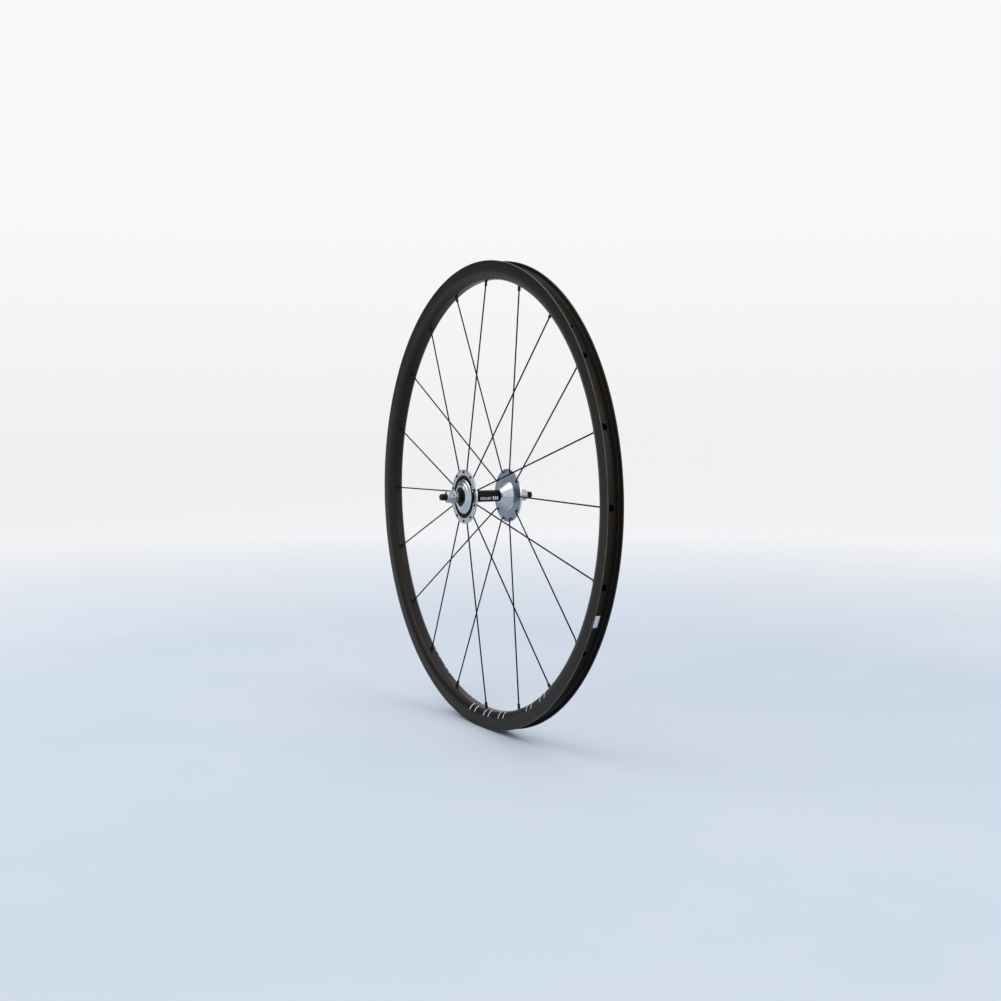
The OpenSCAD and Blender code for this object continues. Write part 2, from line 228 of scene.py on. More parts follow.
def holed(name, loops, angles, holes, mats, sharp, side=1, loop_mats=None, shift=None):
    """Closed loops of (radius, y) turned about the axle and joined by round, chamfered holes."""
    verts, faces, face_mats, base = [], [], [], []
    n = len(angles)

    def join(ring_a, ring_b, mat):
        for k in range(len(ring_a)):
            k2 = (k + 1) % len(ring_a)
            faces.append((ring_a[k], ring_a[k2], ring_b[k2], ring_b[k]))
            face_mats.append(mat)

    skip = set()
    for h in holes:
        for loop, j0, j1 in h["ends"]:
            for i in range(GRID):
                for j in range(min(j0, j1), max(j0, j1)):
                    skip.add((loop, (h["column"] + i) % n, j))
    for loop, outline in enumerate(loops):
        base.append(len(verts))
        for i, a in enumerate(angles):
            for r, y in outline:
                if shift:
                    r, y = shift(loop, i, r, y)
                verts.append(at(a, r, side * y))
        m = len(outline)
        for i in range(n):
            for j in range(m):
                if (loop, i, j) in skip:
                    continue
                i2, j2 = (i + 1) % n, (j + 1) % m
                corners = (i * m + j, i * m + j2, i2 * m + j2, i2 * m + j)
                faces.append(tuple(base[loop] + q for q in corners))
                face_mats.append(loop_mats[loop][j] if loop_mats else 0)

    axial = Vector((0, 1, 0))
    for h in holes:
        turn = math.radians(h["angle"])
        radial = Vector((math.sin(turn), 0, math.cos(turn)))
        tangent = Vector((math.cos(turn), 0, -math.sin(turn)))
        circle_r, rad, chamfer = h["circle"], h["radius"], h["chamfer"]
        mouths = []
        for (loop, j0, j1), sign, mat in zip(h["ends"], h["signs"], h["edge_mats"]):
            outline, m = loops[loop], len(loops[loop])
            lo, hi = min(j0, j1), max(j0, j1)
            way = 1 if j1 > j0 else -1
            cols = [(h["column"] + i) % n for i in range(GRID + 1)]
            edge = [(cols[i], j0) for i in range(GRID)]
            edge += [(cols[GRID], j) for j in range(j0, j1, way)]
            edge += [(cols[GRID - i], j1) for i in range(GRID)]
            edge += [(cols[0], j) for j in range(j1, j0, -way)]
            ids = [base[loop] + i * m + j for i, j in edge]
            if circle_r:
                sign *= side

            def flat(p):
                """A point's place across the hole's own axis."""
                if circle_r:
                    return p.dot(tangent), p.dot(radial) - circle_r
                return p.dot(tangent), p.y

            def place(t, s, depth):
                """The point at that place on the surface, moved along the hole by depth."""
                if circle_r:
                    face_y = side * outline[lo][1] + depth
                    return tangent * t + radial * (circle_r + s) + axial * face_y
                surface = surface_r(outline, lo, hi, s)
                return tangent * t + axial * s + radial * (math.sqrt(surface * surface - t * t) + depth)

            patch_edge = [flat(Vector(verts[k])) for k in ids]
            around = [math.atan2(s, t) for t, s in patch_edge]

            def circle(r):
                return [(math.cos(f) * r, math.sin(f) * r) for f in around]

            mouth = circle(rad + chamfer)
            steps = []
            for w in (0.35, 0.7):
                steps.append(([(t * (1 - w) + ct * w, s * (1 - w) + cs * w)
                               for (t, s), (ct, cs) in zip(patch_edge, mouth)], 0))
            steps.append((mouth, 0))
            steps.append((circle(rad + chamfer * 0.3), sign * chamfer * 0.3))
            steps.append((circle(rad), sign * chamfer))
            rings = [ids]
            for points, depth in steps:
                start = len(verts)
                verts.extend(tuple(place(t, s, depth)) for t, s in points)
                rings.append(list(range(start, len(verts))))
            for ring_a, ring_b in zip(rings, rings[1:]):
                join(ring_a, ring_b, mat)
            mouths.append(rings[-1])
        join(*mouths, h["wall_mat"])
    return new_object(name, verts, faces, mats, face_mats, sharp)


def tube(path, n=16):
    """A round bar in the plane of the axle and one radius, along (y, z, radius) points."""
    verts, faces = [], []
    for k, (y, z, r) in enumerate(path):
        a, b = path[max(k - 1, 0)], path[min(k + 1, len(path) - 1)]
        d = Vector((b[0] - a[0], b[1] - a[1]))
        d.normalize()
        across = Vector((-d.y, d.x))
        for i in range(n):
            f = 2 * math.pi * i / n
            verts.append((r * math.sin(f), y + across.x * r * math.cos(f), z + across.y * r * math.cos(f)))
    for k in range(len(path) - 1):
        for i in range(n):
            i2 = (i + 1) % n
            faces.append((k * n + i, k * n + i2, (k + 1) * n + i2, (k + 1) * n + i))
    faces.append(tuple(range(n)))
    faces.append(tuple((len(path) - 1) * n + i for i in range(n)))
    return verts, faces


def boolean(ob, cutter, how):
    """Cuts or keeps ob by a cutter, which is used up, along with any modifiers ob had."""
    mod = ob.modifiers.new("cut", "BOOLEAN")
    mod.operation, mod.solver, mod.object = how, "EXACT", cutter
    dg = bpy.context.evaluated_depsgraph_get()
    me = bpy.data.meshes.new_from_object(ob.evaluated_get(dg))
    ob.modifiers.clear()
    old = ob.data
    ob.data = me
    bpy.data.meshes.remove(old)
    bpy.data.objects.remove(cutter)


# ---------------------------------------------------------------- material helpers
def material(name, color, metallic, rough, *, spec=0.5, coat=0.0, coat_rough=0.1, aniso=0.0):
    """A Principled material and its nodes. What is the same all over is set on the sockets."""
    m = bpy.data.materials.new(name)
    m.use_nodes = True
    nt = m.node_tree
    p = nt.nodes["Principled BSDF"]
    p.inputs["Base Color"].default_value = (*color, 1)
    p.inputs["Metallic"].default_value = metallic
    p.inputs["Roughness"].default_value = rough
    p.inputs["Specular IOR Level"].default_value = spec
    p.inputs["Coat Weight"].default_value = coat
    p.inputs["Coat Roughness"].default_value = coat_rough
    p.inputs["Anisotropic"].default_value = aniso
    return m, nt, p


def node(nt, kind, **values):
    nd = nt.nodes.new(kind)
    for k, v in values.items():
        setattr(nd, k, v)
    return nd


def feed(nt, socket, value):
    """Links a socket to another's output, or sets it to a number."""
    if isinstance(value, (int, float)):
        socket.default_value = value
    else:
        nt.links.new(value, socket)


def math_node(nt, op, a, b=None, clamp=False):
    nd = node(nt, "ShaderNodeMath", operation=op, use_clamp=clamp)
    feed(nt, nd.inputs[0], a)
    if b is not None:
        feed(nt, nd.inputs[1], b)
    return nd.outputs[0]


def polar(nt):
    """(angle, radius, y) of the point shaded, about the axle, in metres, and the point itself."""
    tc = node(nt, "ShaderNodeTexCoord")
    sep = node(nt, "ShaderNodeSeparateXYZ")
    nt.links.new(tc.outputs["Object"], sep.inputs[0])
    x, y, z = sep.outputs
    xx, zz = math_node(nt, "MULTIPLY", x, x), math_node(nt, "MULTIPLY", z, z)
    r = math_node(nt, "SQRT", math_node(nt, "ADD", xx, zz))
    a = math_node(nt, "ARCTAN2", x, z)
    return a, r, y, tc.outputs["Object"]


def scaled(nt, axes, factors):
    """Three values, each scaled by its own factor, as one vector."""
    nd = node(nt, "ShaderNodeCombineXYZ")
    for k, (value, factor) in enumerate(zip(axes, factors)):
        nt.links.new(math_node(nt, "MULTIPLY", value, factor), nd.inputs[k])
    return nd.outputs[0]


def noise(nt, vector, scale, detail=3.0, rough=0.5):
    nd = node(nt, "ShaderNodeTexNoise")
    nd.inputs["Scale"].default_value = scale
    nd.inputs["Detail"].default_value = detail
    nd.inputs["Roughness"].default_value = rough
    nt.links.new(vector, nd.inputs["Vector"])
    return nd.outputs["Fac"]


def remap(nt, value, lo, hi, to_lo, to_hi):
    nd = node(nt, "ShaderNodeMapRange")
    nt.links.new(value, nd.inputs["Value"])
    for k, v in zip(("From Min", "From Max", "To Min", "To Max"), (lo, hi, to_lo, to_hi)):
        nd.inputs[k].default_value = v
    return nd.outputs["Result"]


def blend_color(nt, fac, a, b):
    """From colour a to colour b; each is a tuple or another node's output."""
    nd = node(nt, "ShaderNodeMix", data_type="RGBA")
    nt.links.new(fac, nd.inputs[0])
    for k, v in ((6, a), (7, b)):
        if isinstance(v, tuple):
            nd.inputs[k].default_value = (*v, 1)
        else:
            nt.links.new(v, nd.inputs[k])
    return nd.outputs[2]


def bump(nt, p, height, strength, distance):
    nd = node(nt, "ShaderNodeBump")
    nd.inputs["Strength"].default_value = strength
    nd.inputs["Distance"].default_value = distance
    nt.links.new(height, nd.inputs["Height"])
    nt.links.new(nd.outputs[0], p.inputs["Normal"])


# ---------------------------------------------------------------- materials
def rim_material():
    """Black anodising over die lines that run round the rim, with a patchy lighter tan on the lips' crests.
    """
    m, nt, p = material("anodised_black_alloy", (0.006, 0.005, 0.004), 0.0, 0.34, spec=0.15)
    a, r, y, obj = polar(nt)
    cloud = remap(nt, noise(nt, obj, 14, 2, 0.5), 0.35, 0.65, 0, 1)
    die = noise(nt, scaled(nt, (a, r, y), (0.6, 900, 900)), 1.0, 4, 0.6)
    warm_cool = blend_color(nt, cloud, (0.0130, 0.0092, 0.0050), (0.0068, 0.0067, 0.0074))
    tone = blend_color(nt, remap(nt, die, 0.3, 0.7, 0, 1), warm_cool, (0.0130, 0.0102, 0.0074))
    # a patchy lighter tan along the two crests of the lips
    rim_r, rim_hw = RIM_R / 1000, RIM_HW / 1000
    high = remap(nt, r, rim_r - 0.0009, rim_r - 0.0002, 0, 1)
    wide = remap(nt, math_node(nt, "ABSOLUTE", y), rim_hw - 0.0012, rim_hw - 0.0003, 0, 1)
    crest = math_node(nt, "MULTIPLY", high, wide, clamp=True)
    patchy = remap(nt, noise(nt, obj, 60, 3, 0.6), 0.25, 0.6, 0.35, 1)
    tan_crest = math_node(nt, "MULTIPLY", crest, patchy, clamp=True)
    nt.links.new(blend_color(nt, tan_crest, tone, (0.12, 0.098, 0.072)), p.inputs["Base Color"])
    nt.links.new(remap(nt, die, 0.25, 0.75, 0.28, 0.42), p.inputs["Roughness"])
    grit = noise(nt, obj, 2600, 2, 0.5)
    die_height, grit_height = math_node(nt, "MULTIPLY", die, 0.8), math_node(nt, "MULTIPLY", grit, 0.35)
    bump(nt, p, math_node(nt, "ADD", die_height, grit_height), 0.13, 0.00008)
    return m


def turned(name, color, rough, aniso, lines=1500, depth=0.10, wear=0.06):
    """Metal turned about the axle: fine rings, faint handling marks and a slight cast."""
    m, nt, p = material(name, color, 1.0, rough, aniso=aniso)
    a, r, y, obj = polar(nt)
    rings = noise(nt, scaled(nt, (a, r, y), (0.25, lines, lines)), 1.0, 3, 0.55)
    smear = noise(nt, obj, 90, 4, 0.6)
    shaded, handled = tuple(c * 0.90 for c in color), tuple(c * 0.80 for c in color)
    tone = blend_color(nt, remap(nt, rings, 0.3, 0.7, 0, 1), color, shaded)
    tone = blend_color(nt, remap(nt, smear, 0.5, 0.8, 0, 1), tone, handled)
    nt.links.new(tone, p.inputs["Base Color"])
    nt.links.new(remap(nt, smear, 0.3, 0.75, rough, rough + wear), p.inputs["Roughness"])
    tangent = node(nt, "ShaderNodeTangent", direction_type="RADIAL", axis="Y")
    nt.links.new(tangent.outputs[0], p.inputs["Tangent"])
    bump(nt, p, rings, depth, 0.00004)
    return m


def plain(name, color, metallic, rough, scale, depth=0.15, vary=0.25, spec=0.5, coat=0.0):
    """Paint, rubber, oxide or plastic: mottled colour and roughness over a fine grain."""
    m, nt, p = material(name, color, metallic, rough, spec=spec, coat=coat, coat_rough=0.08)
    obj = node(nt, "ShaderNodeTexCoord").outputs["Object"]
    mottle, grain = noise(nt, obj, scale / 8, 3, 0.6), noise(nt, obj, scale, 4, 0.6)
    dark = tuple(c * (1 - vary) for c in color)
    light = tuple(min(c * (1 + vary) + 0.003, 1) for c in color)
    nt.links.new(blend_color(nt, remap(nt, mottle, 0.3, 0.7, 0, 1), dark, light), p.inputs["Base Color"])
    smooth, dull = max(rough - 0.05, 0.03), min(rough + 0.08, 1)
    nt.links.new(remap(nt, grain, 0.3, 0.7, smooth, dull), p.inputs["Roughness"])
    bump(nt, p, grain, depth, 0.00005)
    return m


def drawn(name, color, rough):
    """Black oxide on drawn wire: streaks along each spoke's own radius."""
    m, nt, p = material(name, color, 0.0, rough, spec=0.1)
    a, r, y, _ = polar(nt)
    streak = noise(nt, scaled(nt, (a, r, y), (500, 9, 60)), 1.0, 3, 0.6)
    light = tuple(c * 1.8 + 0.002 for c in color)
    nt.links.new(blend_color(nt, remap(nt, streak, 0.3, 0.7, 0, 1), color, light), p.inputs["Base Color"])
    nt.links.new(remap(nt, streak, 0.3, 0.7, rough - 0.06, rough + 0.08), p.inputs["Roughness"])
    bump(nt, p, streak, 0.12, 0.00003)
    return m


M = {
    "rim": rim_material(),
    "hole": plain("bare_drilled_edge", (0.06, 0.055, 0.05), 0.8, 0.45, 900),
    "polish": turned("polished_alloy", (0.52, 0.56, 0.595), 0.13, 0.45),
    "ring": turned("polished_ring", (0.42, 0.45, 0.475), 0.11, 0.5),
    "enamel": plain("black_enamel_and_shade", (0.002, 0.002, 0.0025), 0.0, 0.32, 300, 0.08, spec=0.05),
    "barrel": plain("black_gloss_shell", (0.002, 0.002, 0.002), 0.0, 0.24, 250, 0.06, spec=0.07),
    "wire": drawn("black_wire", (0.003, 0.003, 0.0035), 0.5),
    "nipple": plain("black_nipple", (0.004, 0.004, 0.005), 0.0, 0.4, 1200, spec=0.15),
    "satin": turned("satin_alloy", (0.31, 0.36, 0.44), 0.32, 0.3, 700, 0.12, 0.1),
    "nut": turned("plated_steel", (0.38, 0.38, 0.39), 0.14, 0.25, 900, 0.15, 0.12),
    "axle": plain("black_oxide_steel", (0.004, 0.004, 0.0045), 0.0, 0.4, 900, 0.2, spec=0.2),
    "cone": plain("black_cone_steel", (0.004, 0.004, 0.0045), 0.0, 0.34, 900, 0.2, spec=0.2),
    "cap": plain("black_cap_plastic", (0.005, 0.005, 0.005), 0.0, 0.5, 1400, 0.25, spec=0.15),
    "rubber": plain("seal_rubber", (0.012, 0.012, 0.012), 0.0, 0.62, 1600, 0.3),
    "race": turned("ground_steel", (0.62, 0.63, 0.65), 0.18, 0.3, 1200, 0.1),
    "ball": plain("ball_steel", (0.75, 0.76, 0.78), 1.0, 0.06, 500, 0.02, 0.05),
    "cage": plain("pressed_steel", (0.50, 0.50, 0.52), 1.0, 0.3, 700),
    "alloy": plain("plain_alloy", (0.62, 0.63, 0.65), 1.0, 0.4, 600),
    "white": plain("white_print", (0.78, 0.79, 0.80), 0.0, 0.4, 900, 0.1, 0.06),
    "label": plain("blank_label", (0.66, 0.72, 0.80), 0.0, 0.35, 700, 0.1, 0.08, coat=0.3),
}


# ---------------------------------------------------------------- rim
def ellipse_r(y, wide, narrow, high, low):
    """The radius at y of a nose that is flat to narrow and then a quarter ellipse out to wide."""
    if y <= narrow:
        return low
    c = min((y - narrow) / (wide - narrow), 1)
    return high - (high - low) * math.sqrt(1 - c * c)


def ellipse_rows(y_from, wide, narrow, high, low, steps):
    """Points (radius, y) of that quarter ellipse, from past y_from out to wide."""
    rows = []
    from_angle = math.acos((y_from - narrow) / (wide - narrow))
    for k in range(1, steps + 1):
        f = from_angle * (1 - k / steps)
        rows.append((high - (high - low) * math.sin(f), narrow + (wide - narrow) * math.cos(f)))
    return rows


# the holes' patches take the nose out to NOSE_Y and the tyre bed out to BED_Y
NOSE_Y, BED_Y = 4.6, 4.9
nose_ys = [-NOSE_Y + NOSE_Y / 4 * k for k in range(GRID + 1)]
bed_ys = [BED_Y - BED_Y / 4 * k for k in range(GRID + 1)]
bead_y = RIM_HW - HOOK
half_outer = ellipse_rows(NOSE_Y, RIM_HW, NOSE_HW, TRACK_R, NOSE_R, 16)[:-1]
FLANK_ROWS = len(half_outer)
half_outer += fillet([
    (TRACK_R - 0.2, RIM_HW - 0.004), (TRACK_R + 0.05, RIM_HW - 0.09, 0.1),
    (TRACK_R + 0.45, RIM_HW - 0.09, 0.1), (TRACK_R + 0.7, RIM_HW, 0.2),
    (RIM_R - 6.2, RIM_HW, 0), (RIM_R - 0.4, RIM_HW, 0.3), (RIM_R, RIM_HW - 0.4, 0.3),
    (RIM_R, RIM_HW - 1.5, 0.4), (RIM_R - 0.6, RIM_HW - 2.2, 0.4), (RIM_R - 1.8, RIM_HW - 2.2, 0.3),
    (RIM_R - 2.6, bead_y, 0.3), (BEAD_R, bead_y, 0.5), (BEAD_R, 7.6, 0.6),
    (WELL_R, 5.5, 0.8), (WELL_R, BED_Y)])[:-1]
nose = [(ellipse_r(abs(y), RIM_HW, NOSE_HW, TRACK_R, NOSE_R), y) for y in nose_ys]
bed = [(WELL_R, y) for y in bed_ys]
outer = nose + half_outer + bed + [(r, -y) for r, y in reversed(half_outer)]

INNER_HW = RIM_HW - RIM_WALL
INNER_NOSE_HW = NOSE_HW - 0.6
half_inner = ellipse_rows(NOSE_Y, INNER_HW, INNER_NOSE_HW, TRACK_R, FLOOR_R, 8)
half_inner += fillet([
    (TRACK_R, INNER_HW), (BEAD_R - RIM_WALL, INNER_HW, 0.8), (BEAD_R - RIM_WALL, 7.6, 0.5),
    (CEIL_R, 5.1, 0.3), (CEIL_R, BED_Y)], 3)[1:-1]
spoke_floor = [(ellipse_r(abs(y), INNER_HW, INNER_NOSE_HW, TRACK_R, FLOOR_R), y) for y in nose_ys]
ceiling = [(CEIL_R, y) for y in bed_ys]
inner = spoke_floor + half_inner + ceiling + [(r, -y) for r, y in reversed(half_inner)]

# an access hole through the tyre bed and a nipple hole through the spoke bed at each spoke,
# and the valve's hole through both
outer_bed, inner_bed = len(nose) + len(half_outer), len(nose) + len(half_inner)
BED_ENDS = ((0, outer_bed, outer_bed + GRID), (1, inner_bed, inner_bed + GRID))
NOSE_ENDS = ((0, 0, GRID), (1, 0, GRID))
DRILLED, VALVE_WALL = 1, 2
angles, first = columns([PITCH / 2 * k for k in range(2 * SPOKES)], 0.975, 12)
holes = []
for k in range(SPOKES):
    c = k * PITCH
    holes.append(hole(c, first[c], BED_ENDS, (-1, 1), ACCESS_R, 0.22, wall_mat=DRILLED))
    holes.append(hole(c, first[c], NOSE_ENDS, (1, -1), NIPPLE_HOLE_R, 0.2, wall_mat=DRILLED))
holes.append(hole(VALVE, first[VALVE], BED_ENDS, (-1, 1), VALVE_R, 0.25, wall_mat=VALVE_WALL))
holes.append(hole(VALVE, first[VALVE], NOSE_ENDS, (1, -1), VALVE_R, 0.25, wall_mat=VALVE_WALL))

# the seam is opposite the valve, and the columns beside it are drawn close to it
SEAM_DEPTH, SEAM_HALF_ANGLE = 0.06, 0.03
seam = first[VALVE + 180] + GRID // 2
angles[seam - 1], angles[seam + 1] = angles[seam] - SEAM_HALF_ANGLE, angles[seam] + SEAM_HALF_ANGLE


def seam_shift(loop, i, r, y):
    """A hair groove where the extrusion's ends meet."""
    if loop == 0 and i == seam:
        c = (BEAD_R + NOSE_R) / 2
        d = math.hypot(r - c, y)
        return r - (r - c) / d * SEAM_DEPTH, y - y / d * SEAM_DEPTH
    return r, y


rim = holed("rim_extrusion", [outer, inner], angles, holes, [M["rim"], M["hole"], M["alloy"]], 28,
            shift=seam_shift)
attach(rim, "wheel")
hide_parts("rim")

# ---------------------------------------------------------------- marks on the rim
PRINT_GAP = 0.03


def patch(name, cells, mat, thick):
    """Thin raised print: each cell is a grid of (angle, radius, y) rows laid on a surface."""
    verts, faces = [], []
    for grid in cells:
        base, m = len(verts), len(grid[0])
        for row in grid:
            verts += [at(*p) for p in row]
        for i in range(len(grid) - 1):
            for j in range(m - 1):
                a, b = base + i * m + j, base + (i + 1) * m + j
                faces.append((a, b, b + 1, a + 1))
    ob = new_object(name, verts, faces, [mat])
    solid = ob.modifiers.new("thick", "SOLIDIFY")
    solid.thickness, solid.offset = thick / 1000, 0.0
    return ob


def on_flank(s, side):
    """(radius, y) on the rim's flank, s millimetres along its section from the middle of the nose."""
    pts = nose[GRID // 2:] + half_outer[:FLANK_ROWS]
    run = 0
    for (r0, y0), (r1, y1) in zip(pts, pts[1:]):
        d = math.hypot(r1 - r0, y1 - y0)
        if run + d >= s:
            f = (s - run) / d
            nr, ny = -(y1 - y0) / d, (r1 - r0) / d
            return r0 + (r1 - r0) * f + nr * PRINT_GAP, side * (y0 + (y1 - y0) * f + ny * PRINT_GAP)
        run += d
    return pts[-1][0], side * pts[-1][1]


def slash(angle, side):
    """A slightly slanted stroke across the rim's flank."""
    s_in, s_out, wide, lean, steps = 4.5, 15.5, 1.5, -0.3 * side, 12
    grid = []
    for k in range(steps + 1):
        f = k / steps
        a = angle + lean * (f - 0.5)
        r, y = on_flank(s_in + (s_out - s_in) * f, side)
        half = math.degrees(wide / 2 / r)
        grid.append([(a - half, r, y), (a, r, y), (a + half, r, y)])
    return grid


# pairs of plain strokes in place of the words, the same way round seen from either side
PAIR_ANGLES, PAIR_HALF_GAP = (184.1, 176.6, 168.5, 153.4, 145.9), 1.3
strokes = [c + d for c in PAIR_ANGLES for d in (PAIR_HALF_GAP, -PAIR_HALF_GAP)]
for s, side in SIDES.items():
    cells = [slash(a if side < 0 else 360 - a, side) for a in strokes]
    ob = patch(f"rim_dashes_{s}", cells, M["white"], 0.04)
    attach(ob, "wheel")

# the blank label in the tyre bed
LABEL_FROM, LABEL_LONG = 115.05, 3.2
LABEL_Y, LABEL_WIDE = -2.5, 7.2
label = []
for k in range(11):
    a = LABEL_FROM + LABEL_LONG * k / 10
    label.append([(a, WELL_R + PRINT_GAP, LABEL_Y + LABEL_WIDE * j / 6) for j in range(7)])
ob = patch("blank_label", [label], M["label"], 0.05)
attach(ob, "wheel")


# ---------------------------------------------------------------- spokes and nipples
def spoke_path():
    """(y, z, radius) along the right flange's top spoke: domed head, elbow, straight wire."""
    head = [(36.2, 0.02), (36.17, 0.55), (36.05, 1.0), (35.82, 1.42), (35.5, 1.75), (35.22, 1.9),
            (35.08, 1.88), (35.03, 1.6), (35.02, 1.15), (34.9, 1.03), (34.5, 1.0), (33.4, 1.0)]
    path = [(y, CIRCLE_R, r) for y, r in head]
    elbow_steps, line_steps, line_from, line_r = 12, 14, 4, 0.985
    for k in range(elbow_steps + 1):
        t = TURN * k / elbow_steps
        path.append((ELBOW_Y - ELBOW_R * math.sin(t), CIRCLE_R + ELBOW_R * (1 - math.cos(t)), 1.0))
    length = (NIPPLE_TOP - 1.2 - LINE_Z) / math.cos(TILT)
    for k in range(line_steps + 1):
        d = line_from + (length - line_from) * k / line_steps
        path.append((LINE_Y - d * math.sin(TILT), LINE_Z + d * math.cos(TILT), line_r))
    return path


def turn_to(points, angle, side):
    """Points made for the right flange at the top, moved to a side and an angle from the top."""
    a = math.radians(angle)
    c, s = math.cos(a), math.sin(a)
    return [(x * c + z * s, side * y, -x * s + z * c) for x, y, z in points]


def spoke_angle(i, side):
    """Where a flange's spoke i is, counting from 0; the right flange's lie between the left's."""
    return (2 * i + (1 if side > 0 else 0)) * PITCH


wire_verts, wire_faces = tube(spoke_path())
for s, side in SIDES.items():
    for i in range(1, SPOKES // 2 + 1):
        verts = turn_to(wire_verts, spoke_angle(i - 1, side), side)
        ob = new_object(f"spoke_{s}_{i:02d}_wire", verts, wire_faces, [M["wire"]], sharp=50)
        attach(ob, "wheel")
        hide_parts(f"spoke_{s}_{i:02d}")


def nipple_template():
    """A nipple along +Z from 0 to its length: chamfered square flats, round shank, slotted head."""
    n, top = 32, NIPPLE_L
    # (height, half the width across the square's flats or 0 where it is round, radius), from
    # inside the bore out over the tip, up the shank, over the head and back down the bore
    profile = [(6.0, 0, 1.05), (0.35, 0, 1.06), (0.02, 0, 1.3), (0.0, 1.5, 1.75), (0.22, 1.7, 2.0),
               (6.1, 1.7, 2.0), (6.4, 0, 2.0), (top - NIPPLE_HEAD, 0, 2.0), (top - 2.2, 0, 2.35),
               (top - 1.75, 0, 2.85), (top - 1.5, 0, 3.0), (top - 0.8, 0, 2.97),
               (top - 0.35, 0, 2.7), (top - 0.08, 0, 2.1), (top, 0, 1.5), (top, 0, 1.06)]
    verts, faces = [], []
    for z, flat, r in profile:
        for i in range(n):
            f = 2 * math.pi * i / n
            rr = min(r, flat / max(abs(math.cos(f)), abs(math.sin(f)))) if flat else r
            verts.append((rr * math.cos(f), rr * math.sin(f), z))
    m = len(profile)
    for k in range(m):
        k2 = (k + 1) % m
        for i in range(n):
            i2 = (i + 1) % n
            faces.append((k * n + i, k * n + i2, k2 * n + i2, k2 * n + i))
    ob = new_object("nipple_template", verts, faces, [M["nipple"]])
    slot_hw, slot_reach, slot_from, slot_to = 0.6, 4, top - 0.9, top + 1
    box = [(sx * slot_hw, sy * slot_reach, z)
           for z in (slot_from, slot_to) for sy in (-1, 1) for sx in (-1, 1)]
    box_faces = [(0, 1, 3, 2), (4, 5, 7, 6), (0, 1, 5, 4), (2, 3, 7, 6), (0, 2, 6, 4), (1, 3, 7, 5)]
    boolean(ob, new_object("slot_cutter", box, box_faces, smooth=False), "DIFFERENCE")
    mesh = [tuple(v.co * 1000) for v in ob.data.vertices], [tuple(f.vertices) for f in ob.data.polygons]
    bpy.data.objects.remove(ob)
    return mesh


nipple_verts, nipple_faces = nipple_template()
nipple_from = (NIPPLE_TOP - LINE_Z) / math.cos(TILT) - NIPPLE_L
for s, side in SIDES.items():
    verts, faces = [], []
    for i in range(SPOKES // 2):
        twist = math.radians(25 + 137 * i)      # each is left wherever it came tight
        placed = []
        for x, y, z in nipple_verts:
            x, y = x * math.cos(twist) - y * math.sin(twist), x * math.sin(twist) + y * math.cos(twist)
            z += nipple_from
            placed.append((x, LINE_Y - z * math.sin(TILT) + y * math.cos(TILT),
                           LINE_Z + z * math.cos(TILT) + y * math.sin(TILT)))
        base = len(verts)
        verts += turn_to(placed, spoke_angle(i, side), side)
        faces += [tuple(base + k for k in f) for f in nipple_faces]
    ob = new_object(f"nipples_{s}_slotted", verts, faces, [M["nipple"]], sharp=30)
    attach(ob, "wheel")
    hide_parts(f"nipples_{s}")

# ---------------------------------------------------------------- hub shell
# the outline runs in over the flange's face, the band and the stepped boss, down the bearing's
# pocket and the bore, round the spigot in the barrel, and out over the cone and the inner face
flange_rows = [35.2 - 0.55 * k for k in range(GRID + 1)]
boss = fillet([
    (36.1, FLANGE_Y), (BAND_R, FLANGE_Y, 0.15), (BAND_R, BAND_Y, 0.12), (BOSS_R, BAND_Y, 0.15),
    (BOSS_R, FLANGE_Y + 0.25, 0.2), (22.4, FLANGE_Y + 1.15, 0.5), (19.5, FLANGE_Y + 2.3, 0.4),
    (19.0, FLANGE_Y + 3.1, 0.3), (18.3, FLANGE_Y + 3.55, 0.3), (15.7, BOSS_Y - 0.5, 0.6),
    (14.8, BOSS_Y, 0.35), (13.35, BOSS_Y, 0.12), (13.02, BOSS_Y - 0.33, 0.1), (13.02, 31.3, 0),
    (11.4, 31.3, 0), (11.4, 29.5, 0), (6.0, 29.5, 0), (6.0, 12.0, 0), (BARREL_BORE, 12.0, 0),
    (BARREL_BORE, BARREL_Y, 0), (BARREL_R, BARREL_Y, 0.1), (9.4, BARREL_Y + 1.3, 0.9),
    (19.0, 31.7, 1.2), (20.6, FLANGE_IN, 0.6), (30.0, FLANGE_IN)], 5)[1:-1]
hub_loop = [(r, FLANGE_Y) for r in flange_rows] + boss + [(r, FLANGE_IN) for r in reversed(flange_rows)]
hub_loop += fillet([(35.3, FLANGE_IN), (36.6, FLANGE_IN, 0.45), (36.6, FLANGE_Y, 0.45),
                    (35.3, FLANGE_Y)], 5)[1:-1]
hub_loop = [(min(r, FLANGE_R), y) for r, y in hub_loop]
POLISH, ENAMEL_AND_SHADE, SATIN, RING = range(4)


def hub_finish(a, b):
    """The finish of the strip between two points of the hub's outline."""
    r_in, r_out = min(a[0], b[0]), max(a[0], b[0])
    y_in, y_out = min(a[1], b[1]), max(a[1], b[1])
    on_band = BOSS_R - 0.1 < r_in and r_out < BAND_R + 0.05 and y_out < FLANGE_Y - 0.02
    # the black also runs a little way up the boss's wall, as painted shade where the boss rises out of the
    # band
    shade_on_wall = BOSS_R - 0.3 < r_in and r_out < BOSS_R + 0.2 and y_out < FLANGE_Y + 0.45
    if y_in > BAND_Y - 0.02 and (on_band or shade_on_wall):
        return ENAMEL_AND_SHADE
    if y_out < FLANGE_IN + 0.06 and r_in > 20.4:
        return SATIN
    if y_in > FLANGE_Y - 0.05 and r_in > BAND_R - 0.1:
        return RING
    return POLISH


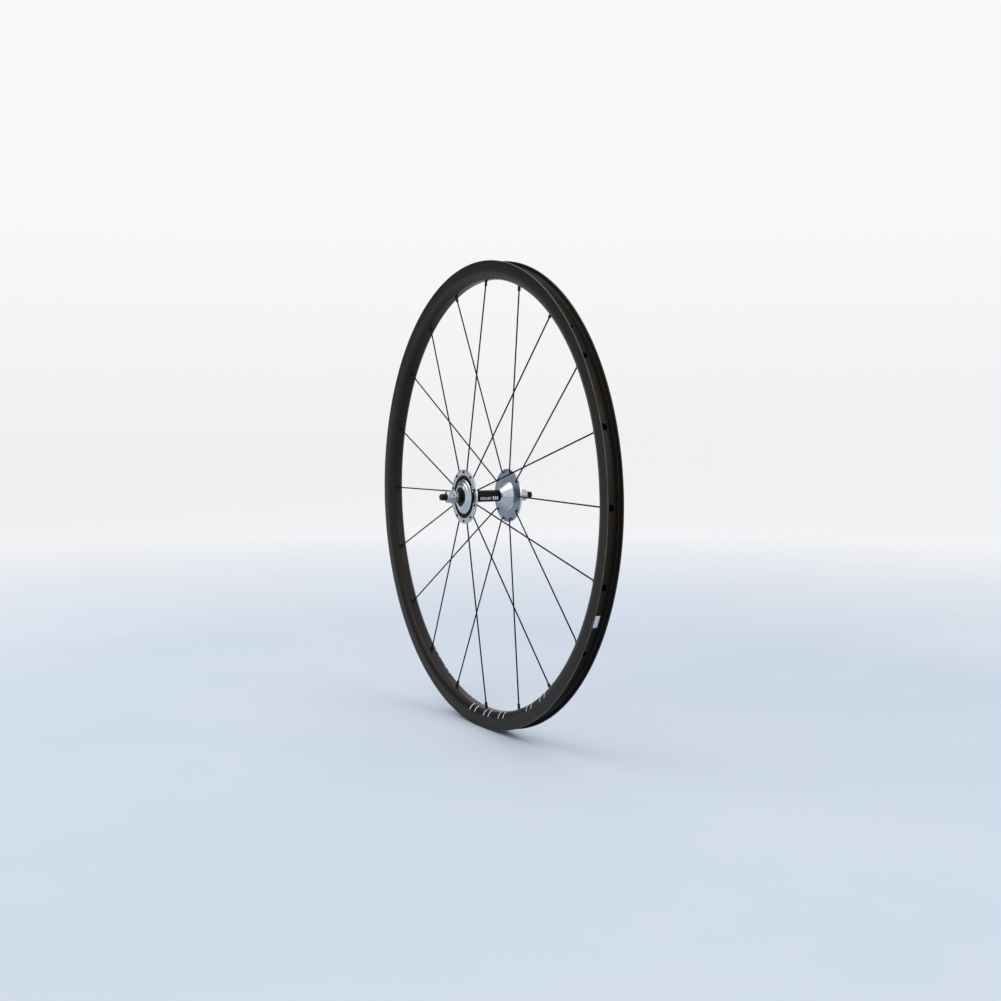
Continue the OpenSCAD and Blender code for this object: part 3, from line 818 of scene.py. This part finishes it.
hub_mats = [hub_finish(a, b) for a, b in zip(hub_loop, hub_loop[1:] + hub_loop[:1])]
inner_row = len(flange_rows) + len(boss)
FLANGE_ENDS = ((0, 0, GRID), (0, inner_row + GRID, inner_row))
HUB_FINISHES = [M["polish"], M["enamel"], M["satin"], M["ring"]]
for s, side in SIDES.items():
    centres = [spoke_angle(i, side) for i in range(SPOKES // 2)]
    hub_angles, hub_first = columns(centres, 3.82, 16)
    hub_holes = [hole(c, hub_first[c], FLANGE_ENDS, (-1, 1), SPOKE_HOLE_R, 0.28, CIRCLE_R, (RING, SATIN))
                 for c in centres]
    ob = holed(f"hub_flange_{s}_polished", [hub_loop], hub_angles, hub_holes, HUB_FINISHES, 30,
               side, [hub_mats])
    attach(ob, "wheel")
    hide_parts(f"hub_flange_{s}")
    # three plain marks on the enamelled band
    mark_y = side * (BAND_Y + PRINT_GAP)
    marks = [[[(a + da, r, mark_y) for r in (24.6, 26.1, 27.6)] for da in (-1.3, 0, 1.3)]
             for a in (56, 64, 72)]
    ob = patch(f"band_marks_{s}", marks, M["white"], 0.03)
    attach(ob, "wheel")

shell = fillet([(BARREL_BORE + 0.02, -BARREL_Y), (BARREL_R, -BARREL_Y, 0.2), (BARREL_R, BARREL_Y, 0.2),
                (BARREL_BORE + 0.02, BARREL_Y)])
ob = lathe("hub_barrel_gloss", shell, M["barrel"], 128)
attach(ob, "wheel")
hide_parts("hub_barrel")


def barrel_bar(angle, y, wide, round_angle, lean):
    """A bar on the centre tube, round_angle degrees round it and leaning along the axle."""
    steps, grid = 8, []
    for k in range(steps + 1):
        f = k / steps - 0.5
        grid.append([(angle + round_angle * f, BARREL_R + 0.02, y + lean * f + dy)
                     for dy in (-wide / 2, 0, wide / 2)])
    return grid


# plain bars in place of a small word and a large one, on both sides of the tube
BARS_ANGLE = 112
bars = []
for around in (0, 180):
    bars += [barrel_bar(BARS_ANGLE + around, -12.5 + 1.9 * k, 0.8, 30, 0.9) for k in range(9)]
    bars += [barrel_bar(BARS_ANGLE + around, 7.0 + 3.0 * k, 1.9, 38, 1.2) for k in range(3)]
ob = patch("barrel_bars", bars, M["white"], 0.03)
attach(ob, "wheel")


# ---------------------------------------------------------------- axle hardware
def hexnut(name, across_flats, y0, y1, face_r, slope, bore, side, dome=0.0):
    """A hexagon bar with softened corners, turned down to face_r at its outer end and bored."""
    corner = across_flats / 2 / math.cos(math.pi / 6)
    prism = [(corner * math.sin(math.radians(60 * k + 30)), y, corner * math.cos(math.radians(60 * k + 30)))
             for y in (y0, y1) for k in range(6)]
    prism_faces = [tuple(range(6)), tuple(range(6, 12))]
    prism_faces += [(k, (k + 1) % 6, 6 + (k + 1) % 6, 6 + k) for k in range(6)]
    ob = new_object(name, prism, prism_faces, [M["nut"]], smooth=False)
    bevel = ob.modifiers.new("edge", "BEVEL")
    bevel.width, bevel.segments, bevel.limit_method = 0.00012, 2, "ANGLE"
    chamfer = (corner - face_r) * slope
    body = fillet([
        (bore, y0 + 0.25), (bore + 0.25, y0, 0.05), (corner - 0.9, y0, 0.1), (corner + 0.3, y0 + 0.6, 0),
        (corner + 0.3, y1 - chamfer, 0), (face_r, y1 - dome, 0.35), (bore + 0.35, y1, 0.1),
        (bore, y1 - 0.35)])
    boolean(ob, lathe("turning_cutter", body, M["nut"], 144), "INTERSECT")
    ob.data.shade_smooth()
    ob.data.set_sharp_from_angle(angle=math.radians(24))
    if side < 0:
        ob.data.transform(Matrix.Scale(-1, 4, (0, 1, 0)))
        ob.data.flip_normals()
    return ob


def threaded_axle():
    """The axle with its M9 threads as a height field, and a centre-drilled, chamfered tip."""
    thread_from, thread_step = 45.0, 0.1
    core_r, thread_h = 3.98, 0.51
    half = [(5.6, 0), (5.6, 31.2), (4.98, 31.2), (4.98, 38.9), (4.05, 39.0), (4.05, thread_from)]
    y = thread_from
    while y < AXLE_Y - 0.85:
        half.append((None, y))      # a row whose radius is the thread's
        y += thread_step
    half += [(4.3, AXLE_Y - 0.6), (3.75, AXLE_Y - 0.02), (3.6, AXLE_Y), (1.6, AXLE_Y),
             (1.5, AXLE_Y - 0.15), (0.55, AXLE_Y - 1.0), (0.0, AXLE_Y - 1.3)]
    outline = [(r, -y) for r, y in reversed(half[1:])] + half
    n, m = 56, len(outline)
    verts, faces = [], []
    for i in range(n):
        for r, y in outline:
            if r is None:
                phase = (abs(y) - math.copysign(1, y) * i / n) % 1.0
                ridge = min(1, max(0, 1.35 * abs(2 * phase - 1) - 0.15))
                fade = min(1, (AXLE_Y - 0.9 - abs(y)) / 1.2 + 0.35)
                r = core_r + thread_h * ridge * max(fade, 0.35)
            verts.append(at(360 * i / n, r, y))
    for i in range(n):
        i2 = (i + 1) % n
        faces.append((0, i * m + 1, i2 * m + 1))
        for j in range(1, m - 2):
            faces.append((i * m + j, i * m + j + 1, i2 * m + j + 1, i2 * m + j))
        faces.append((i * m + m - 2, m - 1, i2 * m + m - 2))
    return new_object("axle_threaded", verts, faces, [M["axle"]], sharp=60)


ob = threaded_axle()
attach(ob, "axle_assembly")
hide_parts("axle")

CONE_FLAT = 7.5
TOOTH, TOOTH_PITCH = 0.18, 2.5
NUT_BORE = 4.62
for s, side in SIDES.items():
    # bearing cover with a raised ring
    y0, y1, r = span(f"dust_cap_{s}")
    sunk = y1 - 0.32
    cap = fillet([
        (8.4, y0), (r, y0, 0.1), (r, y1, 0.15), (r - 0.9, y1, 0.2), (r - 1.25, sunk, 0.15),
        (r - 2.0, sunk, 0.1), (r - 2.15, y1 - 0.22, 0.08), (r - 2.4, y1 - 0.22, 0.08),
        (r - 2.55, sunk, 0.1), (9.3, sunk, 0.2), (9.0, y1 - 0.15, 0.15), (8.4, y1 - 0.15, 0.1),
        (8.4, y0 + 0.05)])[:-1]
    ob = lathe(f"dust_cap_{s}_ribbed", cap, M["cap"], 144, side)
    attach(ob, "wheel")
    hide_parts(f"dust_cap_{s}")

    # cone with two spanner flats
    y0, y1, r = span(f"cone_{s}")

    def flats(angle, rr, y):
        if y > y0 + 3.2 and rr > CONE_FLAT:
            rr = min(rr, CONE_FLAT / max(abs(math.sin(math.radians(angle))), 1e-6))
        return rr, y

    body = fillet([
        (THREAD_BORE, y0 + 0.2), (4.75, y0, 0.05), (6.65, y0, 0.1), (6.7, y0 + 0.6, 0.1),
        (r, y0 + 1.6, 0.4), (r, y0 + 3.15, 0), (r, y0 + 3.25, 0), (r, y1 - 0.4, 0.15),
        (r - 0.4, y1, 0.15), (4.8, y1, 0.05), (THREAD_BORE, y1 - 0.25)])
    ob = lathe(f"cone_{s}_turned", body, M["cone"], 144, side, flats)
    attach(ob, "axle_assembly")
    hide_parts(f"cone_{s}")

    # lock washer
    y0, y1, r = span(f"lock_washer_{s}")
    rolled = fillet([(THREAD_BORE, y0), (r, y0, 0.25), (r, y1, 0.25), (THREAD_BORE, y1)], 5)
    ob = lathe(f"lock_washer_{s}_rolled", rolled, M["nut"], side=side)
    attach(ob, "axle_assembly")
    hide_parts(f"lock_washer_{s}")

    # locknut
    y0, y1, _ = span(f"locknut_{s}")
    ob = hexnut(f"locknut_{s}_cut", 17, y0, y1, 8.9, 0.5, THREAD_BORE, side)
    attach(ob, "axle_assembly")
    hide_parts(f"locknut_{s}")

    # the nut's loose washer, toothed on the side that bites the fork end
    y0, y1, r = span(f"nut_washer_{s}")

    def teeth(angle, rr, y):
        if y < y0 + 0.05 and rr > 7.0 and round(angle / TOOTH_PITCH) % 2:
            y += TOOTH
        return rr, y

    body = fillet([
        (6.25, y0 + 0.2), (6.4, y0 + 0.02, 0.05), (6.9, y0 + 0.02, 0), (7.2, y0, 0), (r - 0.35, y0, 0),
        (r, y0 + 0.3, 0.1), (r, y0 + 1.45, 0.3), (r - 0.8, y1, 0.4), (6.5, y1, 0.1), (6.25, y1 - 0.25)])
    ob = lathe(f"nut_washer_{s}_toothed", body, M["nut"], 144, side, teeth)
    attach(ob, f"nut_washer_{s}")
    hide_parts(f"nut_washer_{s}")

    # axle nut: a domed hexagon, and the plain collar that centres its washer
    y0, y1, _ = span(f"axle_nut_{s}")
    ob = hexnut(f"axle_nut_{s}_cut", 15, y0 + 1.6, y1, 6.1, 1.1, NUT_BORE, side, 0.25)
    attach(ob, f"axle_nut_{s}")
    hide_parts(f"axle_nut_{s}")
    collar = fillet([(NUT_BORE, y0 + 0.15), (4.85, y0, 0.05), (6.15, y0, 0.15), (6.15, y0 + 1.7, 0),
                     (NUT_BORE, y0 + 1.7)])
    ob = lathe(f"axle_nut_{s}_collar", collar, M["nut"], side=side)
    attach(ob, f"axle_nut_{s}")

# CAD nodes that keep their own shape, by a word in their names
CAD_FINISHES = {"balls": "ball", "cage": "cage", "race": "race", "seal": "rubber", "sleeve": "alloy"}
for name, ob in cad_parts.items():
    for word, finish in CAD_FINISHES.items():
        if word in name:
            ob.data.materials.clear()
            ob.data.materials.append(M[finish])


# ---------------------------------------------------------------- studio, in metres
def paper_floor():
    """A pale round floor under the wheel, so wide that its edge is lost in the pale room."""
    n = 96
    ring_radii = [0.4, 0.8, 1.2, 1.8, 2.6, 4, 7, 12, 25, 60]
    verts = [(0, 0, -RIM_R)]
    for r in ring_radii:
        for i in range(n):
            x, _, y = at(360 * i / n, 1000 * r, 0)
            verts.append((x, y, -RIM_R))
    faces = [(0, 1 + i, 1 + (i + 1) % n) for i in range(n)]
    for k in range(len(ring_radii) - 1):
        for i in range(n):
            a, b = 1 + k * n + i, 1 + k * n + (i + 1) % n
            faces.append((a, b, b + n, a + n))
    m, nt, p = material("studio_paper", (0.80, 0.82, 0.87), 0.0, 0.8, spec=0.2)
    obj = node(nt, "ShaderNodeTexCoord").outputs["Object"]
    tone = remap(nt, noise(nt, obj, 1.6, 4, 0.6), 0.35, 0.65, 0, 1)
    near = blend_color(nt, tone, (0.47, 0.53, 0.61), (0.50, 0.555, 0.63))
    away = node(nt, "ShaderNodeVectorMath", operation="LENGTH")
    nt.links.new(obj, away.inputs[0])
    fade = remap(nt, away.outputs["Value"], 0.9, 3.2, 0, 1)
    nt.links.new(blend_color(nt, fade, near, (0.775, 0.775, 0.78)), p.inputs["Base Color"])
    bump(nt, p, noise(nt, obj, 300, 3, 0.5), 0.05, 0.0002)
    return new_object("studio_floor", verts, faces, [m], smooth=False)


floor = paper_floor()

# the camera's bearing from the wheel, and the directions from the wheel's centre back to the
# camera, to the picture's right and up
AZIMUTH, ELEVATION = math.radians(61.15), math.radians(3.27)
back = Vector((math.sin(AZIMUTH) * math.cos(ELEVATION), -math.cos(AZIMUTH) * math.cos(ELEVATION),
               math.sin(ELEVATION)))
right = Vector((math.cos(AZIMUTH), math.sin(AZIMUTH), 0))
up = back.cross(right)


def from_camera(b, r, u):
    """A point so many metres back towards the camera, to the right and up, from the wheel's centre."""
    return back * b + right * r + up * u


def area_light(name, place, size, power, color):
    """A square soft light, turned to the wheel's centre."""
    light = bpy.data.lights.new(name, "AREA")
    light.energy, light.color, light.size = power, color, size
    ob = bpy.data.objects.new(name, light)
    bpy.context.scene.collection.objects.link(ob)
    ob.location = place
    ob.rotation_mode = "QUATERNION"
    ob.rotation_quaternion = (-place).to_track_quat("-Z", "Y")


area_light("key", from_camera(0.3, -1.5, 1.6), 1.9, 15, (1, 0.99, 0.97))
area_light("fill", from_camera(1.4, 2.4, 1.2), 1.6, 10, (0.93, 0.96, 1))

# the room: brighter towards the ceiling
world = bpy.data.worlds.new("studio")
bpy.context.scene.world = world
world.use_nodes = True
wn = world.node_tree
lit_room = wn.nodes["Background"]
sky = node(wn, "ShaderNodeTexCoord").outputs["Generated"]


def lobe(direction, inner, outer):
    """1 towards a direction, fading to 0 between two cosines."""
    dot = node(wn, "ShaderNodeVectorMath", operation="DOT_PRODUCT")
    dot.inputs[1].default_value = direction.normalized()
    wn.links.new(sky, dot.inputs[0])
    return remap(wn, dot.outputs["Value"], outer, inner, 0, 1)


sep = node(wn, "ShaderNodeSeparateXYZ")
wn.links.new(sky, sep.inputs[0])
height = sep.outputs[2]
shade = blend_color(wn, remap(wn, height, -0.2, 0.9, 0, 1), (0.88, 0.90, 0.94), (1.27, 1.27, 1.28))
# the dim side of the room, to the left and beyond the wheel, and a dim stretch behind the camera
shade = blend_color(wn, lobe(right * -0.85 + back * -0.53, 0.93, 0.55), shade, (0.16, 0.18, 0.22))
shade = blend_color(wn, lobe(back - up * 0.25 + right * 0.35, 0.985, 0.90), shade, (0.10, 0.11, 0.13))
wn.links.new(shade, lit_room.inputs["Color"])
# what the lens sees of the room is plain and pale, whatever lights the wheel, and meets the
# floor's far edge in the same tone
seen_room = node(wn, "ShaderNodeBackground")
seen_shade = blend_color(wn, remap(wn, height, 0.0, 0.14, 0, 1), (0.871, 0.879, 0.896), (0.935, 0.938, 0.945))
wn.links.new(seen_shade, seen_room.inputs["Color"])
rays = node(wn, "ShaderNodeLightPath")
room = node(wn, "ShaderNodeMixShader")
wn.links.new(rays.outputs["Is Camera Ray"], room.inputs[0])
wn.links.new(lit_room.outputs[0], room.inputs[1])
wn.links.new(seen_room.outputs[0], room.inputs[2])
wn.links.new(room.outputs[0], wn.nodes["World Output"].inputs["Surface"])
bpy.context.scene.view_settings.view_transform = "Standard"

camera = bpy.data.cameras.new("camera")
camera.sensor_width, camera.lens = 36, 47.785
camera_ob = bpy.data.objects.new("camera", camera)
bpy.context.scene.collection.objects.link(camera_ob)
facing = Matrix((right, up, back)).transposed().to_4x4()
camera_ob.matrix_world = Matrix.Translation(from_camera(1.81187, 0.01917, -0.00618)) @ facing
bpy.context.scene.camera = camera_ob
